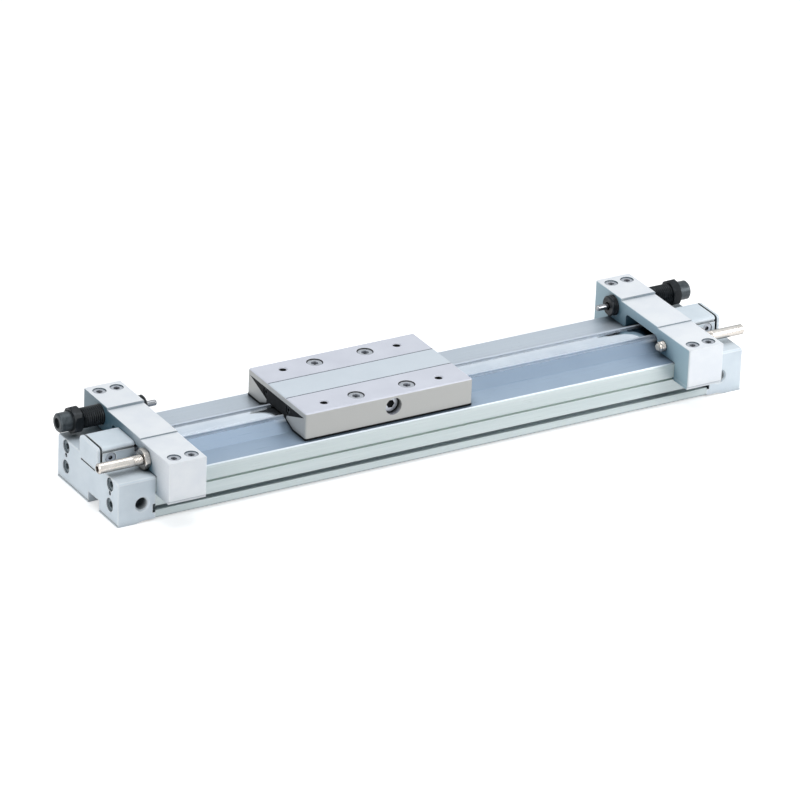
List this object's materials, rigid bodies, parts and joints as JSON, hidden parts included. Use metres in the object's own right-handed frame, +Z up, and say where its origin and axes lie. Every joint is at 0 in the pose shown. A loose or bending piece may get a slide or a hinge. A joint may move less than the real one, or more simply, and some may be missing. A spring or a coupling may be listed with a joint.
{
  "type": "rodless pneumatic cylinder",
  "caption": "Rodless pneumatic cylinder: flat slotted barrel, guided table, end covers with ports, and stop holders with shock absorbers and adjusting bolts.",
  "frame": {"origin": "under the middle of the body, on the surface that the end covers stand on", "axes": "X along the stroke, Y across the body with the ports on the minus side, Z up"},
  "size_m": [0.488, 0.119, 0.0508],
  "materials": {
    "tube": "clear-anodised extrusion, fine lengthwise drawing lines",
    "cover": "pale blue-grey satin coat on a die casting",
    "holder": "near-white satin coat",
    "table": "milled and clear-anodised, fine matt",
    "machined_alloy": "plain machined",
    "screw_steel": "zinc-plated steel",
    "black_steel": "black oxide, slightly oily",
    "shock_steel": "turned bare steel",
    "bolt_steel": "passivated steel, warm silver",
    "rod_chrome": "hard chrome, ground",
    "band_steel": "rolled stainless strip",
    "magnet": "bonded magnet strip",
    "rubber_seal": "black nitrile",
    "dark_resin": "glass-filled resin, fine grain",
    "bearing_resin": "smooth natural acetal",
    "bumper_resin": "hard urethane"
  },
  "bodies": {
    "barrel": {"cylinder_tube": "tube", "end_cover_left": "cover", "end_cover_right": "cover", "end_gasket_left": "rubber_seal", "end_gasket_right": "rubber_seal", "cover_screws_left": "screw_steel", "cover_screws_right": "screw_steel", "cushion_needles_left": "screw_steel", "cushion_needles_right": "screw_steel", "cushion_boss_left": "machined_alloy", "cushion_boss_right": "machined_alloy", "port_plug_left": "screw_steel", "port_plug_right": "screw_steel", "band_clamp_left": "cover", "band_clamp_right": "cover", "band_clamp_screws_left": "screw_steel", "band_clamp_screws_right": "screw_steel", "dust_band": "band_steel", "seal_belt": "band_steel", "seal_magnets": "magnet", "stop_holder_left": "holder", "stop_holder_right": "holder", "holder_keys_left": "holder", "holder_keys_right": "holder", "holder_screws_left": "screw_steel", "holder_screws_right": "screw_steel", "shock_body_left": "black_steel", "shock_body_right": "black_steel", "shock_cap_left": "shock_steel", "shock_cap_right": "shock_steel", "shock_nut_left": "black_steel", "shock_nut_right": "black_steel", "bolt_nut_left": "bolt_steel", "bolt_nut_right": "bolt_steel"},
    "carriage": {"slide_table": "table", "table_screws": "screw_steel", "side_plugs": "dark_resin", "slide_bearings": "bearing_resin", "side_scrapers": "rubber_seal", "end_plate_left": "dark_resin", "end_plate_right": "dark_resin", "end_plate_screws": "black_steel", "coupler_plate": "machined_alloy", "piston_yoke": "machined_alloy", "piston_left": "machined_alloy", "piston_right": "machined_alloy", "piston_seals": "rubber_seal", "wear_rings": "bearing_resin", "piston_magnets": "magnet"},
    "shock_rod_left": {"shock_rod_left": "rod_chrome"},
    "adjust_bolt_left": {"adjust_bolt_left": "bolt_steel", "bolt_bumper_left": "bumper_resin"},
    "shock_rod_right": {"shock_rod_right": "rod_chrome"},
    "adjust_bolt_right": {"adjust_bolt_right": "bolt_steel", "bolt_bumper_right": "bumper_resin"}
  },
  "joints": [
    {"name": "carriage_slide", "type": "slide", "parent": "barrel", "child": "carriage", "axis": [1, 0, 0], "range_m": [-0.0692, 0.1412], "deforming": ["dust_band", "seal_belt"]},
    {"name": "shock_rod_left_slide", "type": "slide", "parent": "barrel", "child": "shock_rod_left", "axis": [-1, 0, 0], "range_m": [0, 0.008], "stiffness_N_per_m": 500, "springref_m": -0.006},
    {"name": "shock_rod_right_slide", "type": "slide", "parent": "barrel", "child": "shock_rod_right", "axis": [1, 0, 0], "range_m": [0, 0.008], "stiffness_N_per_m": 500, "springref_m": -0.006},
    {"name": "adjust_bolt_left_slide", "type": "slide", "parent": "barrel", "child": "adjust_bolt_left", "axis": [1, 0, 0], "range_m": [0, 0.005]},
    {"name": "adjust_bolt_right_slide", "type": "slide", "parent": "barrel", "child": "adjust_bolt_right", "axis": [-1, 0, 0], "range_m": [0, 0.005]}
  ]
}
